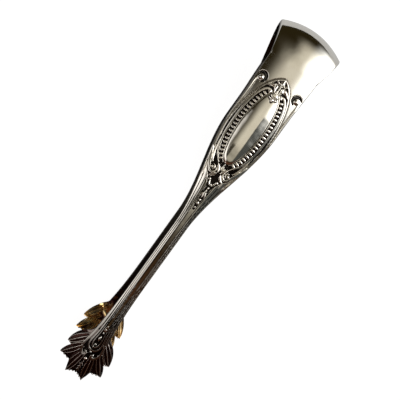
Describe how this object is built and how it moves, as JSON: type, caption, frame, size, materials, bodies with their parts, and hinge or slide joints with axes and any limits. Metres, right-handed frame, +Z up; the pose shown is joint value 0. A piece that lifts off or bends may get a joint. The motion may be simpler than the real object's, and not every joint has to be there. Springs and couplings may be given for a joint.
{
  "type": "sugar tongs",
  "caption": "Bow sugar tongs: a broad sprung bow, tapering threaded arms with oval beaded medallions, and lobed leaf claws that close on a sugar lump.",
  "frame": {"origin": "centre of the bounding box's bottom, on the surface that the lower medallion lies on", "axes": "+X from the bow to the leaf tips, +Y across the arms, +Z up from the lower arm to the upper arm"},
  "size_m": [0.112, 0.0194, 0.0278],
  "materials": {
    "polished_silver": "polished silver",
    "antiqued_silver": "polished silver with darkened recesses",
    "gilt_silver": "parcel-gilt silver"
  },
  "bodies": {
    "bow": {"bow_spring": "polished_silver"},
    "upper_arm": {"upper_arm": "antiqued_silver", "upper_leaf_claw": "gilt_silver", "upper_monogram_plaque": "polished_silver", "upper_beaded_wire": "antiqued_silver"},
    "lower_arm": {"lower_arm": "antiqued_silver", "lower_leaf_claw": "gilt_silver", "lower_monogram_plaque": "polished_silver", "lower_beaded_wire": "antiqued_silver"}
  },
  "joints": [
    {"name": "upper_arm_flex", "type": "hinge", "parent": "bow", "child": "upper_arm", "pos_m": [-0.05128, 0, 0.02218], "axis": [0, 1, 0], "range_deg": [0, 4.7], "stiffness_Nm_per_rad": 1.5},
    {"name": "lower_arm_flex", "type": "hinge", "parent": "bow", "child": "lower_arm", "pos_m": [-0.05128, 0, 0.00562], "axis": [0, -1, 0], "range_deg": [0, 4.7], "stiffness_Nm_per_rad": 1.5}
  ],
  "couplings": [
    {"joint": "lower_arm_flex", "follows": "upper_arm_flex", "ratio": 1}
  ]
}
